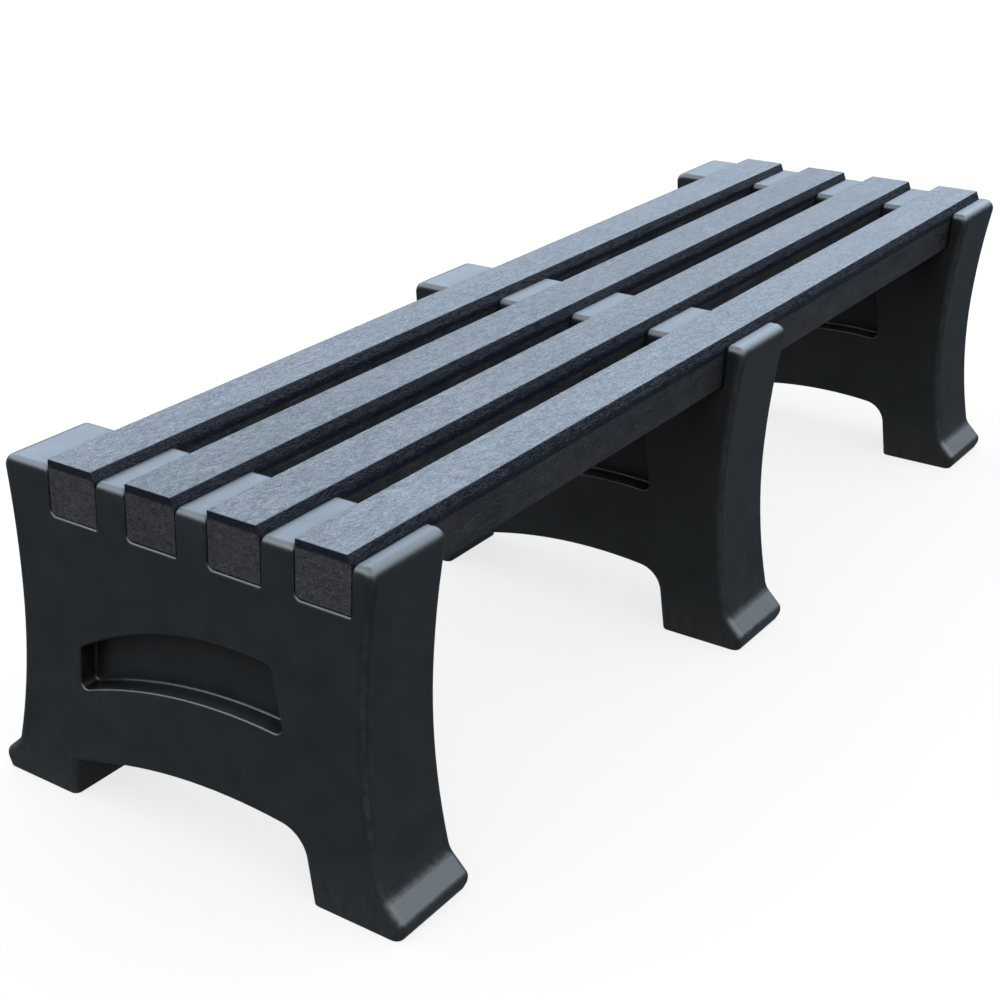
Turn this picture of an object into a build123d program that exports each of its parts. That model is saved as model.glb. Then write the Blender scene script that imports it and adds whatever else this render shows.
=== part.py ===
from build123d import *

import os
from math import asin, degrees

# Backless street bench: three hollow moulded legs, four slats, and their hidden fixings.
#
# Frame: X runs along the bench, Y runs across it, +Z is up.
# The origin is on the ground, at the middle of the bench and midway between the two rows of feet.
# The front of the bench is -Y.  All sizes are in millimetres.

# ---------------------------------------------------------------- whole bench
bench_length = 1800.0
seat_height = 447.0
leg_thickness = 136.0
end_leg_x = (bench_length - leg_thickness) / 2
leg_centres = {"left_end": -end_leg_x, "middle": 0.0, "right_end": end_leg_x}

# ---------------------------------------------------------------- seat slats
slat_width = 72.5
slat_height = 68.5
slat_length = bench_length - 3.0
slat_pitch = 117.5
slat_row_middle_y = -23.0
slat_edge_radius = 2.0
slat_soft_edge_radius = 8.5
slat_bevel_width = 6.0
slat_bevel_height = 13.0
slat_bevel_foot_radius = 14.0
slat_end_rounding = 1.5
slat_bottom_z = seat_height - slat_height
slat_positions = {
    "rear": slat_row_middle_y + 1.5 * slat_pitch,
    "rear_inner": slat_row_middle_y + 0.5 * slat_pitch,
    "front_inner": slat_row_middle_y - 0.5 * slat_pitch,
    "front": slat_row_middle_y - 1.5 * slat_pitch,
}

# ---------------------------------------------------------------- leg outline
leg_height = 437.0
leg_top_half_width = 265.0
waist_half_width = 252.5
waist_z = 265.0
ankle_half_width = 282.0
ankle_z = 46.0
toe_half_width = 308.0
toe_top_z = 21.5
toe_tuck_z = 12.0
toe_base_half_width = 297.0
top_corner_radius = 15.0
ankle_radius = 26.0
toe_top_radius = 11.0
toe_tuck_radius = 20.0
leg_edge_radius = 10.0
foot_trim = 12.0
foot_edge_radius = 2.0

# ---------------------------------------------------------------- arch between the feet
arch_crown_y = -66.0
arch_crown_z = 92.0
arch_radius = 700.0
rear_foot_inner_y = 184.0
rear_foot_inner_top_y = 178.0
front_foot_inner_y = -186.0
front_foot_inner_top_y = -168.0
rear_arch_corner_radius = 10.0
front_arch_corner_radius = 38.0

# ---------------------------------------------------------------- slots in the top of a leg
slot_clearance = 0.5
slot_lip_radius = 4.0

# ---------------------------------------------------------------- blind recess on both faces
recess_depth = 25.0
recess_draft = 4.0
recess_centre_y = -86.0
recess_top_radius = 440.0
recess_top_crown_z = 289.5
recess_bottom_radius = 640.0
recess_bottom_crown_z = 207.0
recess_rear_bottom_y = 162.0
recess_rear_top_y = 157.5
recess_front_bottom_y = -145.5
recess_front_top_y = -130.0
recess_corner_radius = 9.0
recess_floor_radius = 4.0
recess_rim_radius = 3.0

# ---------------------------------------------------------------- hollow inside of a leg
wall = 7.0
core_overlap = 0.5
well_radius = 11.0
well_wall = 6.0
well_top_z = slat_bottom_z - 12.0
front_well_shift_y = -10.0
vent_radius = 6.0
vent_drill_length = 28.0
vent_y = slat_row_middle_y

# ---------------------------------------------------------------- fixings
screw_radius = 4.0
screw_length = 60.0
screw_tip_length = 6.0
screw_tip_radius = 1.0
screw_head_across_flats = 13.0
screw_head_height = 5.5
screw_head_chamfer = 0.8
screw_hole_radius = 4.5
pilot_radius = 4.05
pilot_tip_gap = 2.0
washer_radius = 9.5
washer_thickness = 2.0
plug_flange_radius = 10.0
plug_flange_thickness = 2.5
plug_flange_rounding = 1.0
plug_stem_radius = 5.9
plug_stem_length = 16.0
plug_barb_radius = 6.8
plug_barb_height = 5.0
plug_tip_radius = 4.4
plug_seat_gap = 0.1

# ---------------------------------------------------------------- ways to stand a shape on a point
STANDING = (Align.CENTER, Align.CENTER, Align.MIN)
HANGING = (Align.CENTER, Align.CENTER, Align.MAX)
FLAT_STANDING = (Align.CENTER, Align.MIN)
FLAT_HANGING = (Align.CENTER, Align.MAX)


def arc_radius(run, rise):
    """Radius of an arc that starts square to its run and drifts sideways by rise."""
    return (run**2 + rise**2) / (2 * rise)


def arc_height(crown_y, crown_z, radius, y):
    """Height at y of a wide arc whose highest point is at (crown_y, crown_z)."""
    return crown_z - radius + (radius**2 - (y - crown_y) ** 2) ** 0.5


def screw_line_of(middle_y):
    """Screw line of a slat; the front one moves outwards so its well stays inside the foot."""
    if middle_y == slat_positions["front"]:
        return middle_y + front_well_shift_y
    return middle_y


screw_lines = [screw_line_of(y) for y in slat_positions.values()]


def vent_seat(centre_x):
    """Where the vent meets the arch, standing square to the arch's surface."""
    height = arc_height(arch_crown_y, arch_crown_z, arch_radius, vent_y)
    tilt = degrees(asin((vent_y - arch_crown_y) / arch_radius))
    return Location((centre_x, vent_y, height), (-tilt, 0, 0))


def round_corner(outline, y, z, radius):
    """Round the corner of a sketch that lies nearest to (y, z)."""
    corner = outline.vertices().sort_by_distance((y, z, 0))[0]
    fillet(corner, radius)


def draw_outer_outline():
    """Outline of a leg without arch or slots, reaching down past the ground to be trimmed there."""
    upper_radius = arc_radius(leg_height - waist_z, leg_top_half_width - waist_half_width)
    lower_radius = arc_radius(waist_z - ankle_z, ankle_half_width - waist_half_width)
    top_corner = (leg_top_half_width, leg_height)
    waist = (waist_half_width, waist_z)
    ankle = (ankle_half_width, ankle_z)
    toe_top = (toe_half_width, toe_top_z)
    toe_tuck = (toe_half_width, toe_tuck_z)
    with BuildSketch(Plane.XY) as outline:
        with BuildLine():
            Line((0, leg_height), top_corner)
            RadiusArc(top_corner, waist, -upper_radius)
            RadiusArc(waist, ankle, -lower_radius)
            Polyline(ankle, toe_top, toe_tuck, (toe_base_half_width, -foot_trim), (0, -foot_trim))
            mirror(about=Plane.YZ)
        make_face()
        for side in (-1, 1):
            round_corner(outline, side * leg_top_half_width, leg_height, top_corner_radius)
            round_corner(outline, side * ankle_half_width, ankle_z, ankle_radius)
            round_corner(outline, side * toe_half_width, toe_top_z, toe_top_radius)
            round_corner(outline, side * toe_half_width, toe_tuck_z, toe_tuck_radius)
    return outline.sketch


def draw_arch():
    """Opening between the feet: a wide arc between two nearly upright foot walls, open below the ground."""
    rear_z = arc_height(arch_crown_y, arch_crown_z, arch_radius, rear_foot_inner_top_y)
    front_z = arc_height(arch_crown_y, arch_crown_z, arch_radius, front_foot_inner_top_y)
    rear_top = (rear_foot_inner_top_y, rear_z)
    front_top = (front_foot_inner_top_y, front_z)
    with BuildSketch(Plane.XY) as arch:
        with BuildLine():
            RadiusArc(front_top, rear_top, arch_radius)
            Polyline(rear_top, (rear_foot_inner_y, -foot_trim), (front_foot_inner_y, -foot_trim), front_top)
        make_face()
        round_corner(arch, *rear_top, rear_arch_corner_radius)
        round_corner(arch, *front_top, front_arch_corner_radius)
    return arch.sketch


def draw_slots():
    """The four slots for the slats, open at the top, each with a softer rear floor corner."""
    half_width = slat_width / 2 + slot_clearance
    open_height = 2 * (leg_height - slat_bottom_z)
    with BuildSketch(Plane.XY) as slots:
        for y in slat_positions.values():
            with Locations((y, slat_bottom_z)):
                Rectangle(2 * half_width, open_height, align=FLAT_STANDING)
        for y in slat_positions.values():
            round_corner(slots, y + half_width, slat_bottom_z, slat_soft_edge_radius + slot_clearance)
            round_corner(slots, y - half_width, slat_bottom_z, slat_edge_radius + slot_clearance)
    return slots.sketch


def draw_recess():
    """Arched band of the blind recess: two wide arcs joined by leaning ends."""
    top = (recess_centre_y, recess_top_crown_z, recess_top_radius)
    bottom = (recess_centre_y, recess_bottom_crown_z, recess_bottom_radius)
    rear_top = (recess_rear_top_y, arc_height(*top, recess_rear_top_y))
    rear_bottom = (recess_rear_bottom_y, arc_height(*bottom, recess_rear_bottom_y))
    front_top = (recess_front_top_y, arc_height(*top, recess_front_top_y))
    front_bottom = (recess_front_bottom_y, arc_height(*bottom, recess_front_bottom_y))
    with BuildSketch(Plane.XY) as recess:
        with BuildLine():
            RadiusArc(front_top, rear_top, recess_top_radius)
            Line(rear_top, rear_bottom)
            RadiusArc(rear_bottom, front_bottom, -recess_bottom_radius)
            Line(front_bottom, front_top)
        make_face()
        fillet(recess.vertices(), recess_corner_radius)
    return recess.sketch


def build_cavity(centre_x):
    """The air inside a leg: everything more than one wall thickness from its skin."""
    middle_plane = Plane.YZ.offset(centre_x)
    hollow_thickness = leg_thickness - 2 * wall
    core_thickness = leg_thickness - 2 * (recess_depth + wall)
    with BuildPart() as cavity:
        with BuildSketch(middle_plane):
            add(draw_outer_outline())
            add(draw_arch(), mode=Mode.SUBTRACT)
            add(draw_slots(), mode=Mode.SUBTRACT)
            Rectangle(2 * toe_half_width, foot_trim, align=FLAT_HANGING, mode=Mode.SUBTRACT)
            offset(amount=-wall, kind=Kind.INTERSECTION, mode=Mode.REPLACE)
        extrude(amount=hollow_thickness / 2, both=True)

        # solid plastic around the recess, then a thinner core of air between the two recesses
        with BuildSketch(middle_plane):
            add(draw_recess())
            offset(amount=wall)
        extrude(amount=hollow_thickness / 2, both=True, mode=Mode.SUBTRACT)
        with BuildSketch(middle_plane):
            add(draw_recess())
            offset(amount=wall + core_overlap)
        extrude(amount=core_thickness / 2, both=True)

        # tubes of plastic around the screw wells
        for y in screw_lines:
            with Locations((centre_x, y, 0)):
                Cylinder(well_radius + well_wall, leg_height, align=STANDING, mode=Mode.SUBTRACT)
    return cavity.part


def build_leg(place, centre_x):
    """One hollow moulded leg, standing across the bench at centre_x."""
    middle_plane = Plane.YZ.offset(centre_x)
    cavity = build_cavity(centre_x)
    with BuildPart() as leg:
        # the slab, with every outer edge of both faces rounded over
        with BuildSketch(middle_plane):
            add(draw_outer_outline())
            add(draw_arch(), mode=Mode.SUBTRACT)
        extrude(amount=leg_thickness / 2, both=True)
        edges_by_x = leg.edges().group_by(Axis.X)
        fillet(edges_by_x[0] + edges_by_x[-1], leg_edge_radius)

        # the feet trimmed at the ground, which leaves their lower edges crisp
        with Locations((centre_x, 0, 0)):
            Box(leg_thickness, 2 * toe_half_width, foot_trim, align=HANGING, mode=Mode.SUBTRACT)
        fillet(leg.faces().filter_by_position(Axis.Z, 0, 0).edges(), foot_edge_radius)

        # the slots, with rounded lips but sharp lines left deep inside
        with BuildSketch(middle_plane):
            add(draw_slots())
        extrude(amount=leg_thickness, both=True, mode=Mode.SUBTRACT)
        slot_edges = leg.edges(Select.LAST)
        deepest_lip_z = leg_height - slot_lip_radius
        deep_lines = slot_edges.filter_by(Axis.X).filter_by_position(Axis.Z, 0, deepest_lip_z)
        fillet(slot_edges - deep_lines, slot_lip_radius)

        # the blind recess in each face
        for side in (-1, 1):
            face_x = centre_x + side * leg_thickness / 2
            floor_x = face_x - side * recess_depth
            with BuildSketch(Plane.YZ.offset(face_x)):
                add(draw_recess())
            extrude(amount=-side * recess_depth, taper=recess_draft, mode=Mode.SUBTRACT)
            floor_edges = leg.edges().filter_by_position(Axis.X, floor_x, floor_x)
            fillet(floor_edges, recess_floor_radius)
            leg_face = leg.faces().filter_by_position(Axis.X, face_x, face_x)[0]
            fillet(leg_face.inner_wires()[0].edges(), recess_rim_radius)

        # the hollow inside, then the screw wells and the vent that reach it from below
        add(cavity, mode=Mode.SUBTRACT)
        for y in screw_lines:
            with Locations((centre_x, y, 0)):
                Cylinder(well_radius, well_top_z, align=STANDING, mode=Mode.SUBTRACT)
                Cylinder(screw_hole_radius, slat_bottom_z, align=STANDING, mode=Mode.SUBTRACT)
        with Locations(vent_seat(centre_x)):
            Cylinder(vent_radius, vent_drill_length, mode=Mode.SUBTRACT)
    leg.part.label = f"leg_{place}"
    export_step(leg.part, f"parts/leg_{place}.step")


def build_slat(place, middle_y):
    """One full-length slat: crisp top with a steep bevel at its front, one soft lower edge."""
    rear_y = middle_y + slat_width / 2
    front_y = middle_y - slat_width / 2
    rear_bottom = (rear_y, slat_bottom_z)
    rear_top = (rear_y, seat_height)
    bevel_top = (front_y + slat_bevel_width, seat_height)
    bevel_foot = (front_y, seat_height - slat_bevel_height)
    front_bottom = (front_y, slat_bottom_z)
    pilot_depth = well_top_z - washer_thickness + screw_length + pilot_tip_gap - slat_bottom_z
    with BuildPart() as slat:
        with BuildSketch(Plane.YZ) as profile:
            with BuildLine():
                Polyline(rear_bottom, rear_top, bevel_top, bevel_foot, front_bottom, close=True)
            make_face()
            round_corner(profile, *bevel_foot, slat_bevel_foot_radius)
            round_corner(profile, *bevel_top, slat_edge_radius)
            round_corner(profile, *rear_top, slat_edge_radius)
            round_corner(profile, *rear_bottom, slat_soft_edge_radius)
            round_corner(profile, *front_bottom, slat_edge_radius)
        extrude(amount=slat_length / 2, both=True)
        edges_by_x = slat.edges().group_by(Axis.X)
        fillet(edges_by_x[0] + edges_by_x[-1], slat_end_rounding)
        for x in leg_centres.values():
            with Locations((x, screw_line_of(middle_y), slat_bottom_z)):
                Cylinder(pilot_radius, pilot_depth, align=STANDING, mode=Mode.SUBTRACT)
    slat.part.label = f"slat_{place}"
    export_step(slat.part, f"parts/slat_{place}.step")


def build_screws(place, centre_x):
    """The four coach screws of one leg, heads down in their wells."""
    bearing_z = well_top_z - washer_thickness
    plain_length = screw_length - screw_tip_length
    with BuildPart() as screws:
        with BuildSketch(Plane.XY.offset(bearing_z)):
            with Locations([(centre_x, y) for y in screw_lines]):
                RegularPolygon(screw_head_across_flats / 2, 6, major_radius=False)
        extrude(amount=-screw_head_height)
        lower_faces = screws.faces().group_by(Axis.Z)[0]
        chamfer(lower_faces.edges(), screw_head_chamfer)
        with Locations([(centre_x, y, bearing_z) for y in screw_lines]):
            Cylinder(screw_radius, plain_length, align=STANDING)
        with Locations([(centre_x, y, bearing_z + plain_length) for y in screw_lines]):
            Cone(screw_radius, screw_tip_radius, screw_tip_length, align=STANDING)
    screws.part.label = f"screws_{place}"
    export_step(screws.part, f"parts/screws_{place}.step")


def build_washers(place, centre_x):
    """The four flat washers of one leg, between screw heads and leg."""
    with BuildPart() as washers:
        with BuildSketch(Plane.XY.offset(well_top_z - washer_thickness)):
            with Locations([(centre_x, y) for y in screw_lines]):
                Circle(washer_radius)
                Circle(screw_hole_radius, mode=Mode.SUBTRACT)
        extrude(amount=washer_thickness)
    washers.part.label = f"washers_{place}"
    export_step(washers.part, f"parts/washers_{place}.step")


def build_vent_plug(place, centre_x):
    """Push-in plug that closes the vent hole under the arch of one leg."""
    with BuildPart() as plug:
        with Locations(vent_seat(centre_x)):
            with Locations((0, 0, -plug_seat_gap)):
                Cylinder(plug_stem_radius, plug_stem_length, align=STANDING)
                Cylinder(plug_flange_radius, plug_flange_thickness, align=HANGING)
            with Locations((0, 0, plug_stem_length - plug_seat_gap)):
                Cone(plug_barb_radius, plug_tip_radius, plug_barb_height, align=STANDING)
        lowest_rim = plug.faces().sort_by(Axis.Z)[0].edges()
        fillet(lowest_rim, plug_flange_rounding)
    plug.part.label = f"vent_plug_{place}"
    export_step(plug.part, f"parts/vent_plug_{place}.step")


os.makedirs("parts", exist_ok=True)

for place, x in leg_centres.items():
    build_leg(place, x)
    build_screws(place, x)
    build_washers(place, x)
    build_vent_plug(place, x)

for place, y in slat_positions.items():
    build_slat(place, y)
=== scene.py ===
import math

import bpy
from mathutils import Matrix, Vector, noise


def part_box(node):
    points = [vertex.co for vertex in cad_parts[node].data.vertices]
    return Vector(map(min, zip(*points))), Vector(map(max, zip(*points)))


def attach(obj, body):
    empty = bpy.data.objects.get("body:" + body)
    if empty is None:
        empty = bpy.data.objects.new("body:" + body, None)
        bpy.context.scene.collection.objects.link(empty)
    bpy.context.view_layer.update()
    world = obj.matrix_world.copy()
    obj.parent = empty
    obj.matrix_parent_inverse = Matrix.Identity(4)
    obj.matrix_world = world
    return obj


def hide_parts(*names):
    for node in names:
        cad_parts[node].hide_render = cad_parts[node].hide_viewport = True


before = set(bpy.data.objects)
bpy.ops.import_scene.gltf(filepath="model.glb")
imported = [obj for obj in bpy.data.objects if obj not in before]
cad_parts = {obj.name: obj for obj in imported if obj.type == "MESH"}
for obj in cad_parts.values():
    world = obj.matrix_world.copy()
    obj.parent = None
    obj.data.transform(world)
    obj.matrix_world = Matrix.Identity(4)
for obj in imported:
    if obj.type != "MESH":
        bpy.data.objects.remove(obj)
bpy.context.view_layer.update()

# Looks of the backless bench: hollow moulded legs, recycled-plastic slats, steel screws and vent plugs.
# Everything is in metres. The legs and the small fixings keep their CAD meshes; each slat gets a denser
# mesh of its own, with the shallow waviness of a moulded plank.

MM = 0.001

# ---------------------------------------------------------------- camera
CAMERA_PLACE = Vector((-2.1630, -1.1616, 1.1923))
CAMERA_AZIMUTH = math.radians(-51.229)
CAMERA_ELEVATION = math.radians(27.882)
CAMERA_ROLL = math.radians(-0.836)
LENS_MM = 63.094
SENSOR_MM = 36.0
LENS_SHIFT = {"shift_x": 0.2179, "shift_y": 0.13148}
OWN_PLACE_TOLERANCE = 20 * MM
CLIP_START, CLIP_END = 0.05, 200.0

# ---------------------------------------------------------------- slats
# Painted light: a share of the usual shine for each slat, so that some slat tops look brighter or dimmer than
# others
SLAT_PAINTED_SHINE = {"slat_rear": 1.0, "slat_rear_inner": 0.81, "slat_front_inner": 0.90, "slat_front": 1.14}
EDGE_RADIUS = 2 * MM
SOFT_EDGE_RADIUS = 8.5 * MM
BEVEL_WIDTH = 6 * MM
BEVEL_HEIGHT = 13 * MM
BEVEL_FOOT_RADIUS = 14 * MM
END_ROUNDING = 1.5 * MM
CORNER_STEPS = 3
END_STEPS = 4
FACE_STEP = 4 * MM
WAVE_DEPTH = 0.35 * MM
BROAD_WAVES = (9, 22, 22)  # per metre along X, Y and Z
FINE_WAVES = 75  # per metre
WAVE_OFFSET = (7.3, 3.1, 5.7)  # from one slat to the next
# Heights of the painted shade band below the slat top: on the ends, and on the long sides
PAINTED_SHADE_BAND = 12 * MM
FRONT_PAINTED_SHADE_BAND = 22 * MM
SLAT_SHINE = 0.52
SLAT_RELIEF = 0.30 * MM

# ---------------------------------------------------------------- legs and fixings
DUST_HEIGHT = 90 * MM
# Reaches of the painted shade on the legs: in nooks, and under the seat
NOOK_REACH = 30 * MM
SHELTER_REACH = 700 * MM
LEG_SHINE = 0.7
LEG_WAVE_RELIEF = 0.6 * MM
LEG_PEBBLE_RELIEF = 0.035 * MM
STEEL_RELIEF = 0.015 * MM
PLUG_RELIEF = 0.03 * MM

# ---------------------------------------------------------------- light and floor
SKY_STRENGTH = 5.0
# (sine of the elevation, share of the full sky strength): grey from below, dark at the horizon, bright above
SKY_STEPS = ((-1.0, 0.028), (-0.45, 0.031), (-0.32, 0.024), (-0.15, 0.015), (0.04, 0.02), (0.15, 0.07),
             (0.23, 0.42), (0.30, 0.58), (0.42, 1.0), (0.60, 1.0), (1.0, 0.45))
SKY_NEUTRAL = (0.88, 0.94, 1.0)
SKY_BLUE = (0.66, 0.81, 1.0)
FRONT_SHADE = 0.85
NEAR_SIDE_DROP = 0.25
BLUE_SIDE = Vector((0.78, 0.62, 0.0))
BACKDROP_LEVEL = 0.95
FLOOR_COLOUR = (0.104, 0.092, 0.082, 1.0)
FLOOR_GLOW = 0.77
FLOOR_HALF_SIZE = 40.0


# ================================================================ node helpers
class Graph:
    """A node tree with short calls to add nodes and join them."""

    def __init__(self, tree):
        self.tree = tree
        self.tree.nodes.clear()

    def put(self, made, key, value):
        """Sets an input, named or given as #index, to a value or joins an output socket to it."""
        socket = made.inputs[int(key[1:])] if key[0] == "#" else made.inputs[key]
        if isinstance(value, bpy.types.NodeSocket):
            self.tree.links.new(value, socket)
        else:
            socket.default_value = value

    def add(self, kind, settings=None, inputs=None):
        """Adds a node of this kind, with its settings and its inputs."""
        made = self.tree.nodes.new(kind)
        for key, value in (settings or {}).items():
            setattr(made, key, value)
        for key, value in (inputs or {}).items():
            self.put(made, key, value)
        return made

    def math(self, operation, first, second=0.0):
        return self.add("ShaderNodeMath", {"operation": operation}, {"#0": first, "#1": second}).outputs[0]

    def vector_math(self, operation, first, second):
        made = self.add("ShaderNodeVectorMath", {"operation": operation}, {"#0": first, "#1": second})
        return made.outputs["Value" if operation == "DOT_PRODUCT" else "Vector"]

    def scale(self, vector, share):
        made = self.add("ShaderNodeVectorMath", {"operation": "SCALE"}, {"#0": vector, "Scale": share})
        return made.outputs["Vector"]

    def split(self, vector):
        return self.add("ShaderNodeSeparateXYZ", None, {"Vector": vector}).outputs

    def mix_colour(self, share, first, second):
        inputs = {"#0": share, "#6": first, "#7": second}
        return self.add("ShaderNodeMix", {"data_type": "RGBA"}, inputs).outputs[2]

    def mix_value(self, share, first, second):
        inputs = {"#0": share, "#2": first, "#3": second}
        return self.add("ShaderNodeMix", {"data_type": "FLOAT"}, inputs).outputs[0]

    def remap(self, value, low, high, to_low=0.0, to_high=1.0, kind="LINEAR"):
        inputs = {"Value": value, "From Min": low, "From Max": high, "To Min": to_low, "To Max": to_high}
        return self.add("ShaderNodeMapRange", {"clamp": True, "interpolation_type": kind}, inputs).outputs[0]

    def noise(self, vector, scale, detail=3.0, roughness=0.5, distortion=0.0):
        """Noise that differs from object to object."""
        offset = self.add("ShaderNodeObjectInfo").outputs["Random"]
        inputs = {"Vector": vector, "W": offset, "Scale": scale, "Detail": detail,
                  "Roughness": roughness, "Distortion": distortion}
        return self.add("ShaderNodeTexNoise", {"noise_dimensions": "4D"}, inputs).outputs[0]

    def ridges(self, pattern, width):
        """1 along the middle level of a pattern, falling to 0 at width from it."""
        return self.remap(self.math("ABSOLUTE", self.math("SUBTRACT", pattern, 0.5)), 0.0, width, 1.0, 0.0)

    def place(self, stretch=(1.0, 1.0, 1.0)):
        """Object coordinates multiplied by stretch."""
        return self.vector_math("MULTIPLY", self.add("ShaderNodeTexCoord").outputs["Object"], stretch)

    def facing(self):
        """Absolute parts of the surface normal along X, Y and Z."""
        normal = self.add("ShaderNodeNewGeometry").outputs["Normal"]
        return [self.math("ABSOLUTE", part) for part in self.split(normal)]

    def open_share(self, reach):
        """Share of the directions above the surface that meet nothing within reach."""
        return self.add("ShaderNodeAmbientOcclusion", {"samples": 6}, {"Distance": reach}).outputs["AO"]

    def bump(self, height, depth, normal=None):
        inputs = {"Height": height, "Distance": depth, "Strength": 1.0}
        if normal is not None:
            inputs["Normal"] = normal
        return self.add("ShaderNodeBump", None, inputs).outputs[0]

    def principled(self, colour, roughness, normal, extra=None):
        inputs = {"Base Color": colour, "Roughness": roughness, "Normal": normal}
        inputs.update(extra or {})
        shader = self.add("ShaderNodeBsdfPrincipled", None, inputs)
        self.add("ShaderNodeOutputMaterial", None, {"Surface": shader.outputs[0]})


def new_material(name):
    material = bpy.data.materials.new(name)
    material.use_nodes = True
    return material, Graph(material.node_tree)


def grey(level, tint=(1.0, 1.0, 1.0)):
    return (level * tint[0], level * tint[1], level * tint[2], 1.0)


def centre_and_half_size(node):
    low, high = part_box(node)
    return (low + high) / 2, (high - low) / 2


# ================================================================ materials
def slat_plastic():
    """Recycled plastic plank: near-black, flecked and embossed with swirls, with painted shade as a dark band
    along its upper edges.
    """
    dark, pale, brown = grey(0.009, (0.90, 0.98, 1.08)), grey(0.022), (0.026, 0.021, 0.020, 1.0)
    sawn_dark, sawn_pale = grey(0.013), (0.039, 0.036, 0.038, 1.0)
    cool_sheen, warm_sheen = (0.90, 1.0, 1.0, 1.0), (1.0, 0.93, 0.98, 1.0)
    # Colour of the painted shade band along the upper edges
    navy_painted_shade_band = (0.005, 0.006, 0.011, 1.0)

    material, g = new_material("slat_plastic")
    even = g.place()
    drawn = g.place((0.45, 1.0, 1.0))
    longest = g.place((0.3, 1.0, 1.0))
    mottle = g.noise(longest, scale=60.0, detail=5.0, roughness=0.65, distortion=0.6)
    cloud = g.noise(even, scale=9.0, detail=4.0, roughness=0.55, distortion=0.4)
    streak = g.noise(drawn, scale=135.0, detail=5.0, roughness=0.74, distortion=1.2)
    swirl = g.ridges(g.noise(drawn, scale=120.0, detail=2.0, roughness=0.55, distortion=2.2), width=0.08)
    grain = g.noise(even, scale=900.0, detail=2.0, roughness=0.6)
    hue = g.noise(even, scale=75.0, detail=3.0, roughness=0.6)

    # The whole plank: dark and pale flecks under broad brown clouds, and a patchy shine
    colour = g.mix_colour(g.remap(mottle, 0.36, 0.66), dark, pale)
    colour = g.mix_colour(g.remap(cloud, 0.48, 0.72, 0.0, 0.5), colour, brown)
    roughness = g.math("ADD", g.remap(mottle, 0.3, 0.7, 0.27, 0.36), g.math("MULTIPLY", swirl, 0.06))
    # Painted light: the slat's own share of shine, held in its object colour
    painted_shine = g.math("MULTIPLY", g.split(g.add("ShaderNodeObjectInfo").outputs["Color"])[0], SLAT_SHINE)
    streaky = g.remap(streak, 0.34, 0.66, 0.55, 1.42)
    patchy = g.math("MULTIPLY", g.remap(cloud, 0.30, 0.70, 0.9, 1.1), streaky)
    embossed = g.math("ADD", 1.0, g.math("MULTIPLY", swirl, 0.30))
    shine = g.math("MULTIPLY", g.math("MULTIPLY", patchy, embossed), painted_shine)
    sheen = g.mix_colour(g.remap(hue, 0.38, 0.62), cool_sheen, warm_sheen)

    # The sawn ends: speckled and dull
    facing_x, _, facing_z = g.facing()
    sawn = g.remap(facing_x, 0.7, 0.95)
    specks = g.noise(even, scale=170.0, detail=4.0, roughness=0.7, distortion=0.8)
    sawn_colour = g.mix_colour(g.remap(specks, 0.38, 0.64), sawn_dark, sawn_pale)
    colour = g.mix_colour(sawn, colour, sawn_colour)
    roughness = g.mix_value(sawn, roughness, 0.5)

    # Painted shade: a dark navy band with less shine along the upper edges of the sides and the ends, standing
    # in for the dark reflection there
    height = g.split(even)[2]
    half_height = centre_and_half_size("slat_front")[1].z
    deepest = g.mix_value(sawn, half_height - FRONT_PAINTED_SHADE_BAND, half_height - PAINTED_SHADE_BAND)
    upper = g.remap(height, deepest, g.math("ADD", deepest, 0.3 * PAINTED_SHADE_BAND), kind="SMOOTHSTEP")
    painted_shade_band = g.math("MULTIPLY", upper, g.remap(facing_z, 0.55, 0.85, 1.0, 0.0))
    colour = g.mix_colour(g.math("MULTIPLY", painted_shade_band, 0.9), colour, navy_painted_shade_band)
    shine = g.math("MULTIPLY", shine, g.remap(painted_shade_band, 0.0, 1.0, 1.0, 0.3))

    relief = g.math("ADD", g.math("MULTIPLY", swirl, 0.75), g.math("MULTIPLY", grain, 0.25))
    extra = {"Specular IOR Level": shine, "Specular Tint": sheen}
    g.principled(colour, roughness, g.bump(relief, SLAT_RELIEF), extra)
    return material


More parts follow.
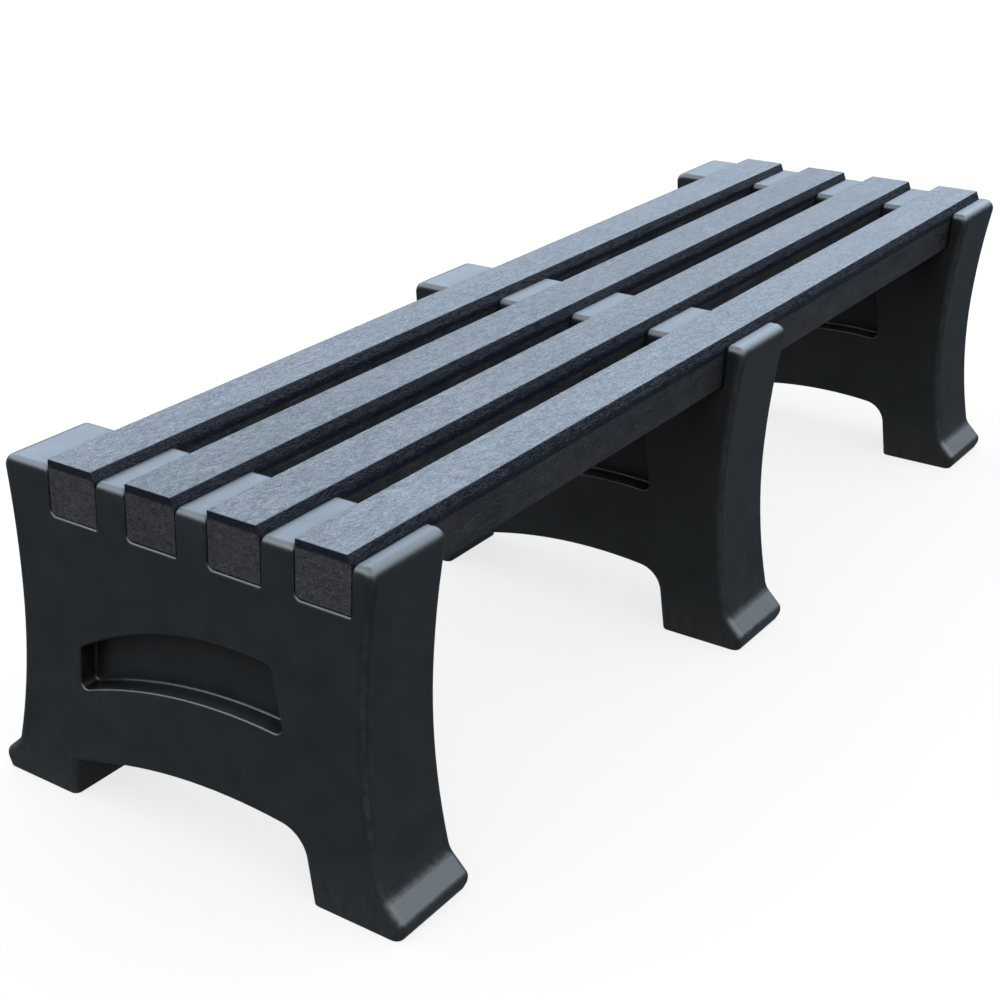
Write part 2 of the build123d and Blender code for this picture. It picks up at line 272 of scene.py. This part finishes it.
def leg_plastic():
    """Satin-black moulded polyethylene: soft pebble grain, rubbed edges and toes, dust near the ground, and
    painted shade in nooks and under the seat.
    """
    dark, pale = grey(0.009, (0.80, 1.0, 1.06)), grey(0.014, (0.86, 1.0, 1.08))
    rubbed_colour, dust_colour = (0.046, 0.052, 0.058, 1.0), (0.045, 0.043, 0.040, 1.0)

    material, g = new_material("leg_plastic")
    even = g.place()
    pebble = g.noise(even, scale=420.0, detail=3.0, roughness=0.55, distortion=0.4)
    wave = g.noise(even, scale=14.0, detail=2.0, roughness=0.4)
    cloud = g.noise(even, scale=22.0, detail=5.0, roughness=0.6, distortion=0.5)
    scuff = g.noise(g.place((1.0, 1.0, 0.35)), scale=130.0, detail=4.0, roughness=0.7, distortion=1.0)
    colour = g.mix_colour(g.remap(cloud, 0.35, 0.68), dark, pale)
    roughness = g.remap(cloud, 0.30, 0.70, 0.29, 0.38)

    # Rubbed where the surface turns from one face to the next
    facing = g.facing()
    flattest = g.math("MAXIMUM", g.math("MAXIMUM", facing[0], facing[1]), facing[2])
    edge = g.remap(flattest, 0.97, 0.80, kind="SMOOTHSTEP")
    rubbed = g.math("MULTIPLY", edge, g.remap(scuff, 0.42, 0.66))
    colour = g.mix_colour(g.math("MULTIPLY", rubbed, 0.4), colour, rubbed_colour)
    roughness = g.math("ADD", roughness, g.math("MULTIPLY", rubbed, 0.10))

    # Dust on the toes and feet
    low = g.remap(g.split(even)[2], 0.0, DUST_HEIGHT, 1.0, 0.0)
    dust = g.math("MULTIPLY", low, g.remap(scuff, 0.35, 0.75, 0.0, 0.5))
    colour = g.mix_colour(dust, colour, dust_colour)
    roughness = g.math("ADD", roughness, g.math("MULTIPLY", dust, 0.2))

    # Painted shade: colour and shine darkened in nooks, most of all beside a slat on the leg tops, and in the
    # shelter of the seat
    nook = g.open_share(NOOK_REACH)
    upward = g.remap(facing[2], 0.8, 0.97)
    painted_shade_factor = g.mix_value(upward, g.remap(nook, 0.3, 0.9, 0.85, 1.0), g.remap(nook, 0.74, 1.0, 0.30, 1.0))
    painted_shade_factor = g.math("MULTIPLY", painted_shade_factor, g.remap(g.open_share(SHELTER_REACH), 0.45, 0.90, 0.65, 1.0))
    colour = g.scale(colour, painted_shade_factor)
    shine = g.math("MULTIPLY", painted_shade_factor, LEG_SHINE)

    relief = g.bump(pebble, LEG_PEBBLE_RELIEF, g.bump(wave, LEG_WAVE_RELIEF))
    g.principled(colour, roughness, relief, {"Specular IOR Level": shine})
    return material


def fixing_steel():
    """Plain stainless steel with fine turning marks and dull stains."""
    stained, clean = (0.42, 0.43, 0.44, 1.0), (0.60, 0.61, 0.62, 1.0)
    material, g = new_material("fixing_steel")
    stretched = g.place((1.0, 1.0, 6.0))
    cloud = g.noise(stretched, scale=160.0, detail=4.0, roughness=0.6)
    marks = g.noise(stretched, scale=1400.0, detail=2.0, roughness=0.5)
    roughness = g.remap(cloud, 0.3, 0.7, 0.25, 0.45)
    colour = g.mix_colour(cloud, stained, clean)
    g.principled(colour, roughness, g.bump(marks, STEEL_RELIEF), {"Metallic": 1.0})
    return material


def plug_plastic():
    """Soft black polyethylene plug."""
    material, g = new_material("plug_plastic")
    cloud = g.noise(g.place(), scale=220.0, detail=4.0, roughness=0.6)
    colour = g.mix_colour(cloud, grey(0.010), grey(0.026))
    g.principled(colour, g.remap(cloud, 0.3, 0.7, 0.45, 0.6), g.bump(cloud, PLUG_RELIEF))
    return material


# ================================================================ slats
def corner_arc(before, corner, after):
    """Points of a rounded corner as (y, z, normal y, normal z). The arc has 2 * CORNER_STEPS pieces."""
    y, z, radius = corner[:3]
    start = math.atan2(before[0] - y, z - before[1])
    turn = (math.atan2(y - after[0], after[1] - z) - start) % (2 * math.pi)
    tangent = radius * math.tan(turn / 2)
    centre_y = y + tangent * math.sin(start) - radius * math.cos(start)
    centre_z = z - tangent * math.cos(start) - radius * math.sin(start)
    points = []
    for i in range(2 * CORNER_STEPS + 1):
        angle = start + turn * i / (2 * CORNER_STEPS)
        ny, nz = math.cos(angle), math.sin(angle)
        points.append((centre_y + radius * ny, centre_z + radius * nz, ny, nz))
    return points


def cross_section(half_y, half_z):
    """A slat's outline, against the clock seen from +X, and the number of points along its four sides."""
    across = round(2 * half_y / FACE_STEP)
    bevel = round(BEVEL_HEIGHT / FACE_STEP)
    front = round((2 * half_z - BEVEL_HEIGHT) / FACE_STEP)
    rear = bevel + 2 * CORNER_STEPS + front
    # Each corner: y, z, radius, steps to the next corner
    corners = [(half_y, half_z, EDGE_RADIUS, across),
               (BEVEL_WIDTH - half_y, half_z, EDGE_RADIUS, bevel),
               (-half_y, half_z - BEVEL_HEIGHT, BEVEL_FOOT_RADIUS, front),
               (-half_y, -half_z, EDGE_RADIUS, across),
               (half_y, -half_z, SOFT_EDGE_RADIUS, rear)]
    arcs = [corner_arc(*three) for three in zip(corners[-1:] + corners, corners, corners[1:] + corners[:1])]
    ring = []
    for arc, next_arc, corner in zip(arcs, arcs[1:] + arcs[:1], corners):
        (y, z, ny, nz), (end_y, end_z, _, _), steps = arc[-1], next_arc[0], corner[3]
        ring += arc
        ring += [(y + (end_y - y) * i / steps, z + (end_z - z) * i / steps, ny, nz) for i in range(1, steps)]
    sides = [2 * CORNER_STEPS + steps for steps in (across, rear, across, rear)]
    return ring[CORNER_STEPS:] + ring[:CORNER_STEPS], sides


def stations(half_x):
    """Places along the slat as (x, inset of the cross-section), close together over the rounded ends."""
    turns = [math.pi / 2 * i / END_STEPS for i in range(END_STEPS + 1)]
    bend = [(half_x - END_ROUNDING * (1 - math.sin(t)), END_ROUNDING * (1 - math.cos(t))) for t in turns]
    inner = half_x - END_ROUNDING
    count = round(2 * inner / FACE_STEP)
    middle = [(-inner + 2 * inner * i / count, 0.0) for i in range(1, count)]
    return [(-x, inset) for x, inset in reversed(bend)] + middle + bend


def coons(top, right, bottom, left):
    """Inner points of a four-sided patch, as rows from top to bottom; top and bottom run left to right."""
    last_u, last_v = len(top) - 1, len(left) - 1
    rows = []
    for j in range(1, last_v):
        v = j / last_v
        row = []
        for i in range(1, last_u):
            u = i / last_u
            across = (1 - u) * left[j] + u * right[j]
            down = (1 - v) * top[i] + v * bottom[i]
            corners = (1 - v) * ((1 - u) * top[0] + u * top[-1]) + v * ((1 - u) * bottom[0] + u * bottom[-1])
            row.append(across + down - corners)
        rows.append(row)
    return rows


def close_end(points, faces, loop, side_sizes, outward):
    """Fills the ring of points at one end with a grid of quads."""
    starts = [sum(side_sizes[:k]) for k in range(4)]
    edges = [loop[starts[k]:starts[k] + side_sizes[k] + 1] for k in range(3)]
    edges.append(loop[starts[3]:] + loop[:1])
    top, left, bottom, right = edges[0][::-1], edges[1], edges[2], edges[3][::-1]
    rows = coons(*[[points[k] for k in edge] for edge in (top, right, bottom, left)])
    grid = [top]
    for j, row in enumerate(rows, start=1):
        first_new = len(points)
        points.extend(row)
        grid.append([left[j]] + list(range(first_new, first_new + len(row))) + [right[j]])
    grid.append(bottom)
    for upper, lower in zip(grid, grid[1:]):
        for i in range(len(upper) - 1):
            face = (upper[i], lower[i], lower[i + 1], upper[i + 1])
            faces.append(face if outward else tuple(reversed(face)))


def sink_surface(mesh, seed):
    """Moves every point inwards by up to the wave depth, as a moulded plank shrinks unevenly."""
    shift = Vector([seed * step for step in WAVE_OFFSET])
    normals = [vertex.normal.copy() for vertex in mesh.vertices]
    for vertex, normal in zip(mesh.vertices, normals):
        place = vertex.co + shift
        broad = noise.noise(Vector([part * waves for part, waves in zip(place, BROAD_WAVES)]))
        fine = noise.noise(place * FINE_WAVES)
        share = max(0.0, min(1.0, 0.5 + 0.45 * broad + 0.35 * fine))
        vertex.co -= normal * WAVE_DEPTH * share


def build_slat(node, seed):
    """A closed all-quad slat, slightly wavy like a moulded plank."""
    centre, half = centre_and_half_size(node)
    ring, sides = cross_section(half.y, half.z)
    size = len(ring)
    places = stations(half.x)
    points = [Vector((x, y - ny * inset, z - nz * inset)) for x, inset in places for y, z, ny, nz in ring]
    faces = []
    for s in range(len(places) - 1):
        for k in range(size):
            a, b = s * size + k, s * size + (k + 1) % size
            faces.append((a, b, b + size, a + size))
    close_end(points, faces, list(range(size)), sides, outward=False)
    last = (len(places) - 1) * size
    close_end(points, faces, list(range(last, last + size)), sides, outward=True)

    mesh = bpy.data.meshes.new(node + "_plank")
    mesh.from_pydata(points, [], faces)
    mesh.update()
    sink_surface(mesh, seed)
    mesh.polygons.foreach_set("use_smooth", [True] * len(mesh.polygons))
    mesh.update()
    plank = bpy.data.objects.new(node + "_plank", mesh)
    plank.location = centre
    bpy.context.scene.collection.objects.link(plank)
    return plank


# ================================================================ stage
def look_from(place, azimuth, elevation, roll=0.0):
    """World matrix of a camera at place, looking back along the given direction."""
    back = Vector((math.sin(azimuth) * math.cos(elevation), -math.cos(azimuth) * math.cos(elevation),
                   math.sin(elevation)))
    right = Vector((math.cos(azimuth), math.sin(azimuth), 0.0))
    up = back.cross(right)
    turned_right = math.cos(roll) * right + math.sin(roll) * up
    turned_up = math.cos(roll) * up - math.sin(roll) * right
    matrix = Matrix((turned_right, turned_up, back)).transposed().to_4x4()
    matrix.translation = place
    return matrix


def shift_only_at_own_place(camera, name, shift):
    """Gives the lens this shift at the camera's own place, and none once the camera is moved elsewhere."""
    setattr(camera.data, name, shift)
    curve = camera.data.driver_add(name)
    curve.driver.type = "SUM"
    where = curve.driver.variables.new()
    where.type = "TRANSFORMS"
    where.targets[0].id = camera
    where.targets[0].transform_type = "LOC_X"
    while curve.modifiers:
        curve.modifiers.remove(curve.modifiers[0])
    while curve.keyframe_points:
        curve.keyframe_points.remove(curve.keyframe_points[0])
    own_x = CAMERA_PLACE.x
    steps = ((own_x - 2 * OWN_PLACE_TOLERANCE, 0.0), (own_x - OWN_PLACE_TOLERANCE, shift),
             (own_x + OWN_PLACE_TOLERANCE, 0.0))
    for x, value in steps:
        curve.keyframe_points.insert(x, value).interpolation = "CONSTANT"
    curve.extrapolation = "CONSTANT"


def add_camera():
    data = bpy.data.cameras.new("camera")
    data.sensor_width = SENSOR_MM
    data.lens = LENS_MM
    data.clip_start, data.clip_end = CLIP_START, CLIP_END
    camera = bpy.data.objects.new("camera", data)
    camera.matrix_world = look_from(CAMERA_PLACE, CAMERA_AZIMUTH, CAMERA_ELEVATION, CAMERA_ROLL)
    bpy.context.scene.collection.objects.link(camera)
    bpy.context.scene.camera = camera
    for name, shift in LENS_SHIFT.items():
        shift_only_at_own_place(camera, name, shift)


def add_floor():
    """A large pale floor that catches faint shadows and stays out of the bench's light and reflections."""
    half = FLOOR_HALF_SIZE
    mesh = bpy.data.meshes.new("floor")
    corners = [(-half, -half, 0), (half, -half, 0), (half, half, 0), (-half, half, 0)]
    mesh.from_pydata(corners, [], [(0, 1, 2, 3)])
    floor = bpy.data.objects.new("floor", mesh)
    bpy.context.scene.collection.objects.link(floor)
    material, g = new_material("floor_paint")
    inputs = {"Base Color": FLOOR_COLOUR, "Roughness": 1.0, "Specular IOR Level": 0.0,
              "Emission Color": grey(1.0), "Emission Strength": FLOOR_GLOW}
    shader = g.add("ShaderNodeBsdfPrincipled", None, inputs)
    g.add("ShaderNodeOutputMaterial", None, {"Surface": shader.outputs[0]})
    mesh.materials.append(material)
    floor.visible_glossy = False
    floor.visible_diffuse = False
    floor.visible_shadow = False


def add_sky():
    """A soft studio dome, lower and dimmer on the near side, and a pale backdrop that only the camera sees."""
    world = bpy.data.worlds.new("studio")
    world.use_nodes = True
    g = Graph(world.node_tree)
    direction = g.add("ShaderNodeTexCoord").outputs["Generated"]
    x, y, z = g.split(direction)
    nearness = g.math("ADD", g.remap(x, -1.0, 0.0, 1.0, 0.0), g.remap(y, -1.0, 0.0, 1.0, 0.0))
    level = g.math("SUBTRACT", z, g.math("MULTIPLY", nearness, NEAR_SIDE_DROP))
    ramp = g.add("ShaderNodeValToRGB", None, {"Fac": g.remap(level, -1.0, 1.0)})
    stops = ramp.color_ramp.elements
    stops.remove(stops[0])
    for index, (sine, share) in enumerate(SKY_STEPS):
        stop = stops[0] if index == 0 else stops.new((sine + 1) / 2)
        stop.position = (sine + 1) / 2
        stop.color = grey(share)
    towards_blue = g.remap(g.vector_math("DOT_PRODUCT", direction, BLUE_SIDE), -0.3, 0.8)
    tint = g.mix_colour(towards_blue, grey(1.0, SKY_NEUTRAL), grey(1.0, SKY_BLUE))
    shade = g.remap(y, -0.7, 0.1, FRONT_SHADE, 1.0)
    light_colour = g.scale(g.vector_math("MULTIPLY", ramp.outputs["Color"], tint), shade)
    light = g.add("ShaderNodeBackground", None, {"Color": light_colour, "Strength": SKY_STRENGTH})
    backdrop = g.add("ShaderNodeBackground", None, {"Color": grey(BACKDROP_LEVEL)})
    seen = g.add("ShaderNodeLightPath").outputs["Is Camera Ray"]
    mix = g.add("ShaderNodeMixShader", None, {"#0": seen, "#1": light.outputs[0], "#2": backdrop.outputs[0]})
    g.add("ShaderNodeOutputWorld", None, {"Surface": mix.outputs[0]})
    bpy.context.scene.world = world


# ================================================================ put together
MATERIALS = {
    "leg": leg_plastic(),
    "slat": slat_plastic(),
    "screws": fixing_steel(),
    "washers": fixing_steel(),
    "vent": plug_plastic(),
}

for node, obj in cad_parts.items():
    obj.data.materials.clear()
    obj.data.materials.append(MATERIALS[node.split("_")[0]])

# Each slat keeps its painted shine share in its object colour
for seed, (node, painted_shine) in enumerate(SLAT_PAINTED_SHINE.items(), start=1):
    plank = build_slat(node, seed)
    plank.color = grey(painted_shine)
    plank.data.materials.append(MATERIALS["slat"])
    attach(plank, "root")
    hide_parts(node)

add_camera()
add_floor()
add_sky()

bpy.context.scene.view_settings.view_transform = "Standard"
